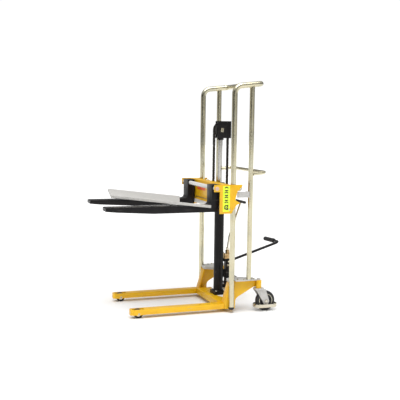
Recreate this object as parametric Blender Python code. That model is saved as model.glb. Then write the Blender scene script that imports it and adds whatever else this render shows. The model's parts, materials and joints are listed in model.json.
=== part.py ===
"""Walkie stacker: a hand-pushed lift truck with a tubular mast, a foot pump and a 2:1 chain lift.

Metres, +Z up. The forks point towards -Y and the operator stands at +Y; "left" is the +X side.
Every object hangs under one empty that stands on the floor between the two front mast tubes, so
the numbers below are measured from there.
"""

import math

import bmesh
import bpy
from mathutils import Matrix, Vector

# Where the front mast tubes stand, so that the floor point under the truck's middle is the origin.
MAST_Y = 0.1608

# Clear gap between pieces that touch, and between a pin and its hole.
GAP = 0.0004
SIDES = (("left", 1), ("right", -1))

# Mast: two front tubes bent back into rails, two rear tubes and two handles.
TUBE_X = 0.276
TUBE_R = 0.0168
TUBE_BOTTOM = 0.0213
REAR_TUBE_Y = 0.114
REAR_TUBE_R = 0.0152
RAIL_Z = 1.386
RAIL_SLOPE = 0.113
RAIL_BEND = 0.05
RAIL_JOINT_Y = 0.15
TOP_HANDLE_Y = 0.178
PUSH_HANDLE_R = 0.011
PUSH_HANDLE_Y = 0.2125
PUSH_HANDLE_Z = 0.857

# Base: two straddle legs with a roller in each tip, a cross member and two side gussets.
LEG_X = 0.2245
LEG_WIDTH = 0.055
LEG_LOW = 0.0213
LEG_TOP = 0.0537
LEG_TIP_Y = -0.631
LEG_ROOT_Y = 0.018
ROLLER_R = 0.0275
ROLLER_WIDTH = 0.034
ROLLER_Y = -0.58
ROLLER_AXLE_R = 0.0045
CROSS_TOP = 0.0597
GUSSET_X = (0.2524, 0.2588)
GUSSET_TOP = 0.197
GUSSET_LIP_TOP = 0.1815
FOOT_PLATE_TOP = 0.2024

# Swivel casters.
CASTER_X = 0.27
CASTER_Y = 0.184
CASTER_TRAIL = 0.045
WHEEL_R = 0.0625
WHEEL_WIDTH = 0.032
SWIVEL_TOP = 0.1436
HOUSING_R = 0.018
HOUSING_TOP = 0.1935
STEM_R = 0.008
CASTER_TURN = {"left": 0.0, "right": math.radians(-50)}

# Lift cylinder, ram, chain pulley and chain, all on the truck's centre plane.
RAM_Y = 0.019
RAM_R = 0.014
BARREL_R = 0.031
BARREL_BORE = 0.021
BLOCK_TOP = 0.0826
BARREL_TOP = 0.765
GLAND_TOP = 0.786
PULLEY_Y = 0.0218
PULLEY_Z = 1.121
PULLEY_R = 0.039
CHAIN_HALF = 0.0075
CHAIN_X = 0.008

# Carriage, fork bars, forks and platform, at the height where the forks stand now.
PLATE_X = (0.3022, 0.3082)
CARRIAGE_TOP = 0.795
GUIDE_ROLLER_R = 0.0175
GUIDE_ROLLER_Y = TUBE_R + GUIDE_ROLLER_R + 0.0014
GUIDE_UPPER_Z = 0.771
GUIDE_LOWER_Z = 0.645
FORK_BAR_Y = -0.1175
FORK_BAR_Z = 0.773
FORK_BAR_R = 0.0125
FORK_TOP = 0.669
FORK_OUTER_X = 0.272
FORK_WIDTH = 0.09
FORK_TIP_Y = -0.785
SHANK_FRONT_Y = -0.135
SHANK_REAR_Y = -0.088
PLATFORM_CORNER = (0.3, -0.15)
PLATFORM_LENGTH = 0.6
PLATFORM_WIDTH = 0.46
PLATFORM_YAW = math.radians(10.5)
PLATFORM_LEAN = math.radians(6)
PLATFORM_LIFT = 0.0016
SHEET = 0.0022
LIP = 0.0155

# Foot pump with its pedal lever, and the release lever.
PUMP_Y = 0.0795
PUMP_LOW = 0.0984
PUMP_TOP = 0.29
PEDAL_PIVOT_Z = 0.272
PLUNGER_Y = 0.1015
PEDAL_Y = 0.449
PEDAL_Z = 0.383
RELEASE_Z = 0.345
RELEASE_GRIP = (0.0, 0.166, 0.66)

FINISHES = {
    "yellow_paint": ((0.86, 0.47, 0.01), 0.42, 0.0),
    "black_paint": ((0.012, 0.012, 0.014), 0.38, 0.0),
    "bright_zinc": ((0.66, 0.64, 0.59), 0.3, 1.0),
    "chrome": ((0.8, 0.8, 0.8), 0.12, 1.0),
    "sheet_steel": ((0.62, 0.61, 0.57), 0.45, 0.6),
    "brass": ((0.7, 0.45, 0.2), 0.35, 1.0),
    "black_chain": ((0.02, 0.02, 0.02), 0.5, 0.7),
    "black_tyre": ((0.02, 0.02, 0.02), 0.7, 0.0),
    "black_grip": ((0.015, 0.015, 0.015), 0.6, 0.0),
}


def clear_scene():
    for obj in list(bpy.data.objects):
        bpy.data.objects.remove(obj, do_unlink=True)


def new_collection(name, hidden):
    collection = bpy.data.collections.new(name)
    bpy.context.scene.collection.children.link(collection)
    collection.hide_render = hidden
    return collection


clear_scene()
PARTS = new_collection("walkie_stacker", hidden=False)
HELPERS = new_collection("cutters", hidden=True)


def empty(name, location=(0, 0, 0), parent=None):
    axis = bpy.data.objects.new(name, None)
    axis.location = location
    axis.parent = parent
    axis.empty_display_size = 0.05
    PARTS.objects.link(axis)
    return axis


ROOT = empty("walkie_stacker_floor_point", (0, MAST_Y, 0))


def helper(obj, parent):
    """Puts away a shape that only serves a Boolean."""
    HELPERS.objects.link(obj)
    obj.parent = parent
    obj.hide_render = True
    obj.display_type = "WIRE"
    return obj


def new_mesh(name, bm):
    mesh = bpy.data.meshes.new(name)
    bmesh.ops.recalc_face_normals(bm, faces=bm.faces)
    bm.to_mesh(mesh)
    bm.free()
    return bpy.data.objects.new(name, mesh)


def box(low, high):
    """A box between two corners."""
    low, high = Vector(low), Vector(high)
    bm = bmesh.new()
    place = Matrix.LocRotScale((low + high) / 2, None, high - low)
    bmesh.ops.create_cube(bm, size=1, matrix=place)
    return new_mesh("box", bm)


def cylinder(start, end, radius, segments=24):
    """A round bar from one point to another."""
    start, end = Vector(start), Vector(end)
    turn = Vector((0, 0, 1)).rotation_difference(end - start)
    bm = bmesh.new()
    bmesh.ops.create_cone(
        bm,
        cap_ends=True,
        segments=segments,
        radius1=radius,
        radius2=radius,
        depth=(end - start).length,
        matrix=Matrix.LocRotScale((start + end) / 2, turn, None),
    )
    return new_mesh("cylinder", bm)


def cross_rod(x, y, z, half, radius, segments=24):
    """A round bar along X, centred on x."""
    return cylinder((x - half, y, z), (x + half, y, z), radius, segments)


def mesh_of_curve(curve, matrix=None):
    """The closed mesh of a curve, ready for a Boolean."""
    source = bpy.data.objects.new("curve", curve)
    bpy.context.scene.collection.objects.link(source)
    if matrix is not None:
        source.matrix_world = matrix
    bpy.context.view_layer.update()
    graph = bpy.context.evaluated_depsgraph_get()
    mesh = bpy.data.meshes.new_from_object(source.evaluated_get(graph))
    mesh.transform(source.matrix_world)
    bpy.data.objects.remove(source, do_unlink=True)
    bm = bmesh.new()
    bm.from_mesh(mesh)
    bmesh.ops.remove_doubles(bm, verts=bm.verts, dist=1e-5)
    return new_mesh("outline", bm)


def outline_curve(points, thickness):
    curve = bpy.data.curves.new("outline", "CURVE")
    curve.dimensions = "2D"
    curve.fill_mode = "BOTH"
    curve.extrude = thickness / 2
    spline = curve.splines.new("POLY")
    spline.points.add(len(points) - 1)
    for point, (u, v) in zip(spline.points, points):
        point.co = (u, v, 0, 1)
    spline.use_cyclic_u = True
    return curve


def flat_plate(points, low_z, high_z):
    """An outline of (x, y) points, between two heights."""
    place = Matrix.Translation((0, 0, (low_z + high_z) / 2))
    return mesh_of_curve(outline_curve(points, high_z - low_z), place)


def side_profile(points, low_x, high_x):
    """An outline of (y, z) points, between two places along X."""
    turn = Matrix(((0, 0, 1), (1, 0, 0), (0, 1, 0))).to_4x4()
    place = Matrix.Translation(((low_x + high_x) / 2, 0, 0)) @ turn
    return mesh_of_curve(outline_curve(points, high_x - low_x), place)


def arc(centre, radius, first, last, steps):
    """Points (u, v) round a centre, from one angle in degrees to another."""
    found = []
    for i in range(steps + 1):
        angle = math.radians(first + (last - first) * i / steps)
        found.append((centre[0] + radius * math.cos(angle), centre[1] + radius * math.sin(angle)))
    return found


def rounded_rectangle(centre, half_u, half_v, radius, steps=4):
    points = []
    for quarter, (su, sv) in enumerate(((1, 1), (-1, 1), (-1, -1), (1, -1))):
        corner = (centre[0] + su * (half_u - radius), centre[1] + sv * (half_v - radius))
        points += arc(corner, radius, 90 * quarter, 90 * quarter + 90, steps)
    return points


def bent_path(corners, bend, steps=7):
    """The corners of a path with each inner one rounded to the bend radius."""
    corners = [Vector(corner) for corner in corners]
    path = [corners[0]]
    for before, corner, after in zip(corners, corners[1:], corners[2:]):
        back = (before - corner).normalized()
        ahead = (after - corner).normalized()
        half = back.angle(ahead) / 2
        reach = bend / math.tan(half)
        centre = corner + (back + ahead).normalized() * (bend / math.sin(half))
        first = corner + back * reach - centre
        last = corner + ahead * reach - centre
        for i in range(steps + 1):
            path.append(centre + bend * first.slerp(last, i / steps))
    return path + [corners[-1]]


def pipe_curve(corners, radius, bend=0.03):
    """A round bar or tube along a bent path."""
    curve = bpy.data.curves.new("pipe", "CURVE")
    curve.dimensions = "3D"
    curve.bevel_depth = radius
    curve.bevel_resolution = 3
    curve.use_fill_caps = True
    path = bent_path(corners, bend)
    spline = curve.splines.new("POLY")
    spline.points.add(len(path) - 1)
    for point, place in zip(spline.points, path):
        point.co = (*place, 1)
    return curve


def boolean(obj, other, operation, parent):
    """Joins another shape to this one, or cuts it away."""
    helper(other, parent)
    modifier = obj.modifiers.new(operation.lower(), "BOOLEAN")
    modifier.operation = operation
    modifier.solver = "EXACT"
    modifier.object = other


def node(name, obj, finish, parent=ROOT, joined=(), cut=()):
    """Names a sub-part, gives it its own material, and adds or cuts away other shapes."""
    obj.name = name
    obj.data.name = name
    obj.parent = parent
    PARTS.objects.link(obj)
    colour, roughness, metallic = FINISHES[finish]
    material = bpy.data.materials.new(name + "_" + finish)
    material.use_nodes = True
    shader = material.node_tree.nodes["Principled BSDF"]
    shader.inputs["Base Color"].default_value = (*colour, 1)
    shader.inputs["Roughness"].default_value = roughness
    shader.inputs["Metallic"].default_value = metallic
    obj.data.materials.append(material)
    for shape in joined:
        boolean(obj, shape, "UNION", parent)
    for shape in cut:
        boolean(obj, shape, "DIFFERENCE", parent)
    return obj


def pipe(name, corners, radius, finish, bend=0.03, parent=ROOT):
    """A bent tube that is a sub-part of its own, kept as a curve."""
    return node(name, bpy.data.objects.new(name, pipe_curve(corners, radius, bend)), finish, parent)


def rail_height(y):
    return RAIL_Z + RAIL_SLOPE * y


def add_mast():
    for side, s in SIDES:
        x = s * TUBE_X
        joint = (x, RAIL_JOINT_Y, rail_height(RAIL_JOINT_Y))
        pipe(
            "mast_tube_" + side,
            ((x, 0, TUBE_BOTTOM), (x, 0, RAIL_Z), joint),
            TUBE_R,
            "bright_zinc",
            RAIL_BEND,
        )
        under_rail = rail_height(REAR_TUBE_Y - REAR_TUBE_R) - 1.01 * TUBE_R - GAP
        low = (x, REAR_TUBE_Y, FOOT_PLATE_TOP + GAP)
        high = (x, REAR_TUBE_Y, under_rail)
        node("rear_tube_" + side, cylinder(low, high, REAR_TUBE_R, 16), "bright_zinc")
    add_handle(
        "top_handle", RAIL_JOINT_Y + GAP, TOP_HANDLE_Y, rail_height(RAIL_JOINT_Y), RAIL_SLOPE, TUBE_R
    )
    start = REAR_TUBE_Y + REAR_TUBE_R + 0.0015
    add_handle("push_handle", start, PUSH_HANDLE_Y, PUSH_HANDLE_Z, 0.1, PUSH_HANDLE_R)


def add_handle(name, start_y, bar_y, start_z, slope, radius):
    """A U-shaped handle: two arms that run back from the mast and the bar between them."""
    bar_z = start_z + slope * (bar_y - start_y)
    corners = (
        (TUBE_X, start_y, start_z),
        (TUBE_X, bar_y, bar_z),
        (-TUBE_X, bar_y, bar_z),
        (-TUBE_X, start_y, start_z),
    )
    pipe(name, corners, radius, "bright_zinc", 0.027)


def leg_outline(s):
    """A leg seen from above, square at the root and rounded at the tip."""
    half = LEG_WIDTH / 2
    x = s * LEG_X
    corner = 0.018
    points = [(x + half, LEG_ROOT_Y), (x - half, LEG_ROOT_Y)]
    points += arc((x - half + corner, LEG_TIP_Y + corner), corner, 180, 270, 5)
    points += arc((x + half - corner, LEG_TIP_Y + corner), corner, 270, 360, 5)
    return points


def add_legs():
    for side, s in SIDES:
        x = s * LEG_X
        slot = ROLLER_WIDTH / 2 + 0.0015
        reach = ROLLER_R + 0.009
        node(
            "leg_" + side,
            flat_plate(leg_outline(s), LEG_LOW, LEG_TOP),
            "yellow_paint",
            cut=(
                box((x - slot, ROLLER_Y - reach, 0), (x + slot, ROLLER_Y + reach, 0.1)),
                cross_rod(x, ROLLER_Y, ROLLER_R, 0.04, ROLLER_AXLE_R + GAP),
            ),
        )
        axle = cross_rod(x, ROLLER_Y, ROLLER_R, LEG_WIDTH / 2 - 0.001, ROLLER_AXLE_R)
        node("roller_axle_" + side, axle, "bright_zinc")
        centre = empty("load_roller_axis_" + side, (x, ROLLER_Y, ROLLER_R), ROOT)
        node(
            "load_roller_" + side,
            cross_rod(0, 0, 0, ROLLER_WIDTH / 2, ROLLER_R, 32),
            "black_tyre",
            centre,
            cut=(cross_rod(0, 0, 0, 0.04, ROLLER_AXLE_R + GAP),),
        )


def add_base():
    inner = LEG_X - LEG_WIDTH / 2 - GAP
    beam = [(-inner, -0.062), (inner, -0.062), (inner, 0.05), (0.06, -0.002), (-0.06, -0.002), (-inner, 0.05)]
    node("cross_member", flat_plate(beam, 0.022, CROSS_TOP), "yellow_paint")
    for side, s in SIDES:
        x_in, x_out = sorted(s * x for x in GUSSET_X)
        foot = LEG_TOP + GAP
        web = [(-0.036, LEG_LOW), (0.031, LEG_LOW), (0.033, 0.055), *arc((0.067, 0.064), 0.034, 180, 118, 4)]
        web += [(0.153, 0.1495), (0.168, 0.1495), (0.168, GUSSET_TOP), (0.004, GUSSET_TOP), (-0.036, foot)]
        front = [(-0.04, foot), (-0.032, foot), (0.0035, GUSSET_LIP_TOP), (-0.0045, GUSSET_LIP_TOP)]
        lip_in, lip_out = sorted((s * 0.207, s * (GUSSET_X[1] - 0.001)))
        node(
            "gusset_" + side,
            side_profile(web, x_in, x_out),
            "yellow_paint",
            joined=(side_profile(front, lip_in, lip_out),),
        )
        seat = [(0.297, 0.0196), (0.297, 0.1648), (0.235, 0.1648), (0.165, 0.062), (0.165, 0.05)]
        seat += [(0.2, -0.004), (0.2572, -0.004), (0.2572, 0.0196)]
        fold = [(0.165, 0.055), (0.165, 0.05), (0.2, -0.004)]
        fold += [(0.2515, -0.004), (0.2515, -0.0008), (0.2018, -0.0008)]
        fold_low, fold_high = FOOT_PLATE_TOP - 0.018, FOOT_PLATE_TOP - 0.001
        node(
            "foot_plate_" + side,
            flat_plate([(s * x, y) for x, y in seat], GUSSET_TOP + GAP, FOOT_PLATE_TOP),
            "sheet_steel",
            joined=(flat_plate([(s * x, y) for x, y in fold], fold_low, fold_high),),
        )


def add_casters():
    for side, s in SIDES:
        x, y = s * CASTER_X, CASTER_Y
        web = sorted((s * GUSSET_X[0], s * (GUSSET_X[0] + 0.006)))
        node(
            "caster_housing_" + side,
            cylinder((x, y, SWIVEL_TOP + GAP), (x, y, HOUSING_TOP), HOUSING_R),
            "yellow_paint",
            joined=(box((web[0], 0.168 + GAP, 0.152), (web[1], y, HOUSING_TOP - 0.001)),),
            cut=(cylinder((x, y, 0.1), (x, y, 0.3), STEM_R + GAP),),
        )
        swivel = empty("caster_swivel_axis_" + side, (x, y, 0), ROOT)
        swivel.rotation_euler.z = CASTER_TURN[side]
        add_caster_fork(side, swivel)


def add_caster_fork(side, swivel):
    """Swivel plate, stem and two slanted cheeks, with the wheel trailing towards +Y."""
    axle = (0, CASTER_TRAIL, WHEEL_R)
    cheek = [(-0.027, 0.137), (0.041, 0.137), (0.0655, 0.062)]
    cheek += arc((0.044, 0.06), 0.0215, 0, -180, 7)
    plates = []
    for s in (-1, 1):
        low, high = sorted((s * 0.0185, s * 0.0225))
        plates.append(side_profile(cheek, low, high))
    node(
        "caster_fork_" + side,
        cylinder((0, 0, 0.1345), (0, 0, SWIVEL_TOP), 0.034, 32),
        "sheet_steel",
        swivel,
        joined=(
            *plates,
            cylinder((0, 0, 0.14), (0, 0, HOUSING_TOP + 0.004), STEM_R),
            cylinder((0, 0, HOUSING_TOP + GAP), (0, 0, HOUSING_TOP + 0.011), 0.013, 6),
        ),
        cut=(cross_rod(0, axle[1], axle[2], 0.04, 0.005 + GAP),),
    )
    node(
        "caster_axle_" + side,
        cross_rod(*axle, 0.029, 0.005),
        "bright_zinc",
        swivel,
        joined=[cross_rod(k * 0.0259, axle[1], axle[2], 0.003, 0.009, 6) for k in (-1, 1)],
    )
    hub = empty("caster_wheel_axis_" + side, axle, swivel)
    node(
        "caster_wheel_" + side,
        cross_rod(0, 0, 0, WHEEL_WIDTH / 2, WHEEL_R, 40),
        "black_tyre",
        hub,
        cut=(cross_rod(0, 0, 0, 0.04, 0.005 + GAP),),
    )
    low, high = 0.024, 0.045
    guard = flat_plate(rounded_rectangle((0, CASTER_TRAIL), 0.0415, 0.078, 0.041, 7), low, high)
    hole = flat_plate(rounded_rectangle((0, CASTER_TRAIL), 0.0385, 0.075, 0.038, 7), 0, 0.1)
    lug_y = CASTER_TRAIL
    lugs = []
    for s in (-1, 1):
        first, last = sorted((s * (0.0225 + GAP), s * 0.0395))
        lugs.append(box((first, lug_y - 0.008, low + 0.002), (last, lug_y + 0.008, high + 0.003)))
    ring = node("toe_guard_" + side, guard, "bright_zinc", swivel, cut=(hole,))
    for lug in lugs:
        boolean(ring, lug, "UNION", swivel)


def add_lift_cylinder():
    block = box((-0.048, -0.02, CROSS_TOP + GAP), (0.048, 0.056, BLOCK_TOP))
    node("cylinder_base", block, "black_paint")
    low, high = (0, RAM_Y, BLOCK_TOP + GAP), (0, RAM_Y, BARREL_TOP)
    node(
        "lift_cylinder",
        cylinder(low, high, BARREL_R, 32),
        "black_paint",
        cut=(cylinder((0, RAM_Y, 0.12), (0, RAM_Y, 0.9), BARREL_BORE, 32),),
    )
    node(
        "cylinder_gland",
        cylinder((0, RAM_Y, BARREL_TOP + GAP), (0, RAM_Y, GLAND_TOP), 0.034, 32),
        "black_paint",
        cut=(cylinder((0, RAM_Y, 0.7), (0, RAM_Y, 0.9), RAM_R + GAP, 32),),
    )
    rear_chain_y = PULLEY_Y + PULLEY_R + CHAIN_HALF
    anchor = (rear_chain_y - CHAIN_HALF - 0.003, rear_chain_y + CHAIN_HALF + 0.003)
    node(
        "chain_anchor",
        box((-0.012, RAM_Y + BARREL_R + GAP, 0.735), (0.012, anchor[1], 0.76)),
        "black_paint",
    )
    node(
        "chain_rear",
        box(
            (-CHAIN_X, rear_chain_y - CHAIN_HALF, 0.76 + GAP),
            (CHAIN_X, rear_chain_y + CHAIN_HALF, PULLEY_Z - GAP),
        ),
        "black_chain",
    )


def add_ram():
    node(
        "ram_rod",
        cylinder((0, RAM_Y, 0.4), (0, RAM_Y, 1.07 - GAP), RAM_R, 32),
        "chrome",
        joined=(cylinder((0, RAM_Y, 0.4), (0, RAM_Y, 0.43), BARREL_BORE - GAP, 32),),
    )
    y, z = PULLEY_Y, PULLEY_Z
    front, back, low, high = -0.008, 0.0835, 1.07, 1.178
    slot = CHAIN_X + 0.004
    node(
        "pulley_yoke",
        box((-0.022, front, low), (0.022, back, high)),
        "black_paint",
        cut=(
            box((-slot, front - 0.01, low + 0.0085), (slot, 0.0785, high + 0.01)),
            box((-slot, 0.0585, low - 0.01), (slot, 0.0785, high)),
            cross_rod(0, y, z, 0.04, 0.007 + GAP),
        ),
    )
    node(
        "pulley_pin",
        cross_rod(0, y, z, 0.0235, 0.007),
        "bright_zinc",
        joined=[cross_rod(k * 0.0244, y, z, 0.002, 0.0105, 8) for k in (-1, 1)],
    )
    axis = empty("chain_pulley_axis", (0, y, z), ROOT)
    node(
        "chain_pulley",
        cross_rod(0, 0, 0, 0.0105, PULLEY_R - GAP, 32),
        "bright_zinc",
        axis,
        cut=(cross_rod(0, 0, 0, 0.04, 0.007 + GAP),),
    )
    outer, inner = PULLEY_R + 2 * CHAIN_HALF, PULLEY_R
    crown = arc((y, z), outer, 0, 180, 14) + arc((y, z), inner, 180, 0, 14)
    node("chain_crown", side_profile(crown, -CHAIN_X, CHAIN_X), "black_chain")


def side_plate_outline():
    """Outer carriage plate: ear for the fork bar, hooked rear edge, narrow foot."""
    return [
        (-0.0985, 0.6205),
        (-0.0239, 0.6205),
        (0.0, 0.655),
        (0.011, 0.672),
        (0.0338, 0.683),
        (0.001, 0.703),
        (0.0166, 0.757),
        (0.0388, 0.769),
        (0.0478, CARRIAGE_TOP),
        (-0.135, CARRIAGE_TOP),
        (-0.135, 0.753),
        (-0.0985, 0.753),
    ]


def add_carriage():
    for side, s in SIDES:
        low, high = sorted(s * x for x in PLATE_X)
        reach = sorted((s * 0.26, s * 0.304))
        upper = ((reach[0], GUIDE_ROLLER_Y, GUIDE_UPPER_Z), (reach[1], GUIDE_ROLLER_Y, GUIDE_UPPER_Z))
        lower = ((reach[0], -GUIDE_ROLLER_Y, GUIDE_LOWER_Z), (reach[1], -GUIDE_ROLLER_Y, GUIDE_LOWER_Z))
        node(
            "side_plate_" + side,
            side_profile(side_plate_outline(), low, high),
            "yellow_paint",
            joined=(cylinder(*upper, 0.006), cylinder(*lower, 0.006)),
        )
        for place, y, z in (
            ("upper", GUIDE_ROLLER_Y, GUIDE_UPPER_Z),
            ("lower", -GUIDE_ROLLER_Y, GUIDE_LOWER_Z),
        ):
            axis = empty("guide_roller_axis_" + place + "_" + side, (s * TUBE_X, y, z), ROOT)
            node(
                "guide_roller_" + place + "_" + side,
                cross_rod(0, 0, 0, 0.0115, GUIDE_ROLLER_R),
                "bright_zinc",
                axis,
                cut=(cross_rod(0, 0, 0, 0.03, 0.006 + GAP),),
            )
        arm_x = sorted((s * 0.2915, s * (PLATE_X[0] - GAP)))
        shoe_x = sorted((s * 0.262, s * 0.293))
        end_y = REAR_TUBE_Y - REAR_TUBE_R - 0.0008
        low, high = 0.716, 0.751
        node(
            "guide_arm_" + side,
            box((arm_x[0], 0.0208, low), (arm_x[1], end_y, high)),
            "sheet_steel",
            joined=(box((shoe_x[0], end_y - 0.012, low), (shoe_x[1], end_y, high)),),
        )
    inner = PLATE_X[0] - GAP
    node(
        "carriage_frame",
        box((-inner, -0.08, 0.64), (inner, -0.074, CARRIAGE_TOP)),
        "yellow_paint",
        joined=(
            box((-inner, -0.08, CARRIAGE_TOP - 0.006), (inner, -0.024, CARRIAGE_TOP)),
            box((-0.06, -0.03, CARRIAGE_TOP - 0.006), (0.06, -0.0172, CARRIAGE_TOP)),
        ),
    )
    node("fork_bar_upper", cross_rod(0, FORK_BAR_Y, FORK_BAR_Z, inner, FORK_BAR_R), "chrome")
    node("fork_bar_lower", box((-inner, -0.0874, 0.643), (inner, -0.0804, 0.667)), "chrome")
    chain_y = PULLEY_Y - PULLEY_R - CHAIN_HALF
    node(
        "chain_front",
        box(
            (-CHAIN_X, chain_y - CHAIN_HALF, CARRIAGE_TOP + GAP),
            (CHAIN_X, chain_y + CHAIN_HALF, PULLEY_Z - GAP),
        ),
        "black_chain",
    )


def fork_outline():
    """A fork seen from the side: tapered blade, rounded heel and upright shank."""
    heel = arc((SHANK_FRONT_Y - 0.02, FORK_TOP + 0.02), 0.02, 270, 360, 4)
    back = arc((SHANK_REAR_Y - 0.018, 0.647), 0.018, 0, -90, 4)
    return [
        (FORK_TIP_Y, 0.6475),
        (-0.72, 0.641),
        (-0.62, 0.634),
        (-0.5, 0.628),
        (-0.38, 0.626),
        (-0.25, 0.6265),
        *reversed(back),
        (SHANK_REAR_Y, 0.793),
        (SHANK_FRONT_Y, 0.793),
        *reversed(heel),
        (FORK_TIP_Y + 0.006, FORK_TOP),
        (FORK_TIP_Y, FORK_TOP - 0.004),
    ]


def add_forks():
    for side, s in SIDES:
        low, high = sorted((s * FORK_OUTER_X, s * (FORK_OUTER_X - FORK_WIDTH)))
        node(
            "fork_" + side,
            side_profile(fork_outline(), low, high),
            "black_paint",
            cut=(cross_rod(0, FORK_BAR_Y, FORK_BAR_Z, 0.4, FORK_BAR_R + GAP),),
        )


def add_platform():
    """A folded sheet tray that lies across the forks, turned a little and leaning back."""
    length, width, notch, rail = PLATFORM_LENGTH, PLATFORM_WIDTH, 0.13, 0.014
    slant = 0.19
    outline = [(0, 0), (-rail, 0), (-rail, -slant), (-width, -notch), (-width, -length), (0, -length)]
    rib_y = -0.24
    rib = (abs(rib_y) - 0.004) * math.tan(PLATFORM_LEAN)
    tray = node(
        "platform",
        flat_plate(outline, -SHEET, 0),
        "sheet_steel",
        joined=(
            box((-SHEET, -length, -LIP), (0, 0, 0)),
            box((-width, -length, -LIP), (0, SHEET - length, 0)),
            box((-width, -length, -0.006), (SHEET - width, -notch - 0.002, 0)),
            box((-width + 0.02, rib_y, -rib), (-0.01, rib_y + 0.004, 0)),
        ),
    )
    tray.location = (*PLATFORM_CORNER, FORK_TOP + PLATFORM_LIFT + SHEET)
    tray.rotation_euler = (-PLATFORM_LEAN, 0, -PLATFORM_YAW)
    for modifier in tray.modifiers:
        modifier.object.location = tray.location
        modifier.object.rotation_euler = tray.rotation_euler


def add_pump():
    y = PUMP_Y
    pivot_hole = cross_rod(0, y, PEDAL_PIVOT_Z, 0.04, 0.005 + GAP)
    lugs = []
    for low, high in ((PUMP_LOW + 0.001, 0.119), (0.13, 0.139), (0.168, 0.218), (0.272, PUMP_TOP - 0.001)):
        lugs.append(box((-0.013, RAM_Y + BARREL_R + GAP, low), (0.013, 0.067, high)))
    node(
        "pump_body",
        box((-0.018, 0.0645, PUMP_LOW), (0.018, 0.0915, PUMP_TOP)),
        "black_paint",
        joined=(box((-0.012, 0.09, 0.165), (0.012, 0.113, 0.225)), *lugs),
        cut=(
            cylinder((0, PLUNGER_Y, 0.172), (0, PLUNGER_Y, 0.24), 0.006 + GAP),
            pivot_hole,
        ),
    )
    node(
        "pump_head",
        box((-0.019, 0.055, PUMP_TOP + GAP), (0.019, 0.104, 0.322)),
        "brass",
        joined=(cylinder((0, y, 0.32), (0, y, RELEASE_Z - GAP), 0.014, 6),),
    )
    pedal = empty("foot_pedal_axis", (0, y, PEDAL_PIVOT_Z), ROOT)
    add_foot_lever(pedal)
    node(
        "pump_plunger",
        cylinder((0, PLUNGER_Y, 0.19), (0, PLUNGER_Y, PEDAL_PIVOT_Z - 0.0105), 0.006),
        "chrome",
    )
    release = empty("release_lever_axis", (0, y, RELEASE_Z), ROOT)
    grip = Vector(RELEASE_GRIP) - Vector((0, y, RELEASE_Z))
    rod = pipe_curve(((0, 0, 0.008), (0, 0.012, 0.09), grip - Vector((0, 0, 0.0095))), 0.0062, 0.2)
    foot = cross_rod(0, 0, 0.008, 0.011, 0.0076)
    node("release_lever", mesh_of_curve(rod), "bright_zinc", release, joined=(foot,))
    node("release_grip", cross_rod(*grip, 0.075, 0.009, 16), "black_grip", release)


def add_foot_lever(pedal):
    """The pedal lever straddles the pump on a pin and pushes the plunger with its cross bar."""
    y0, z0 = PUMP_Y, PEDAL_PIVOT_Z
    cross = (PLUNGER_Y - y0, 0.0015)
    bar_end = (-0.075, PEDAL_Y - y0, PEDAL_Z - z0 - 0.0035)
    arm = pipe_curve(
        ((0, cross[0], cross[1]), (0, PEDAL_Y - y0, PEDAL_Z - z0), bar_end), 0.0085, 0.028
    )
    cheek = arc((0, 0), 0.011, 90, 270, 5)
    cheek += [(cross[0], -0.0065), (cross[0] + 0.006, 0.0015), (cross[0], 0.0095)]
    shapes = [cross_rod(0, *cross, 0.024, 0.0055), cross_rod(0, 0, 0, 0.024, 0.005)]
    for s in (-1, 1):
        low, high = sorted((s * 0.019, s * 0.024))
        shapes.append(side_profile(cheek, low, high))
    node("foot_lever", mesh_of_curve(arm), "black_paint", pedal, joined=shapes)
    rise = (0.145 / 0.075) * (bar_end[2] - (PEDAL_Z - z0))
    start = (bar_end[0] - GAP, bar_end[1], bar_end[2])
    end = (bar_end[0] - 0.145, bar_end[1], bar_end[2] + rise)
    node("pedal_grip", cylinder(start, end, 0.0145), "black_grip", pedal)


add_mast()
add_legs()
add_base()
add_casters()
add_lift_cylinder()
add_ram()
add_carriage()
add_forks()
add_platform()
add_pump()
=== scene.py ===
"""The walkie stacker's finished look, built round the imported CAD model.

Flat and bent parts are finer copies of their CAD solids with rounded edges. Round parts, wheels,
chains, grips, labels, welds and fasteners are built here, mostly from the boxes of the CAD nodes.
Metres, +Z up; Y is counted from the front mast tubes wherever a point comes from at().
"""

import json
import math

import bmesh
import bpy
from mathutils import Matrix, Vector


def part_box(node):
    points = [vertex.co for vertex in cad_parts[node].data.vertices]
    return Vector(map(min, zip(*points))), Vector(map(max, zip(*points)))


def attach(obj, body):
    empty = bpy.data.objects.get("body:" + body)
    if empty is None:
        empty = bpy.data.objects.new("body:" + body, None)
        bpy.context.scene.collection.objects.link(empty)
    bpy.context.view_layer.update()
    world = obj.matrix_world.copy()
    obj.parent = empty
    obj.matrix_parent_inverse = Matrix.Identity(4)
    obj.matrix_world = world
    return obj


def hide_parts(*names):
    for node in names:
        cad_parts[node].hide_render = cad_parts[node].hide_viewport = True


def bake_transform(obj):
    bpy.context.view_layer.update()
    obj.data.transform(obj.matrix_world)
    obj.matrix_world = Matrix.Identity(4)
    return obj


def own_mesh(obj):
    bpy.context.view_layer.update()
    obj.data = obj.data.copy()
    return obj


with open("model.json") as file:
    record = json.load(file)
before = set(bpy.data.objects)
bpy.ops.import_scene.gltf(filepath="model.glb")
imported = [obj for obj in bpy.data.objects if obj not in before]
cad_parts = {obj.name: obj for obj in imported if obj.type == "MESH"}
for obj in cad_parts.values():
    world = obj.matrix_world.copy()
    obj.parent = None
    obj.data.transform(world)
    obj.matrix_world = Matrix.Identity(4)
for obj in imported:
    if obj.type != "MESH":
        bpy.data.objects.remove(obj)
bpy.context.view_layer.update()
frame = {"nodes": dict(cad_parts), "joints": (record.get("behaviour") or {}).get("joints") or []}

X_AXIS = Vector((1, 0, 0))
Z_AXIS = Vector((0, 0, 1))
SIDES = (("left", 1), ("right", -1))

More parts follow.
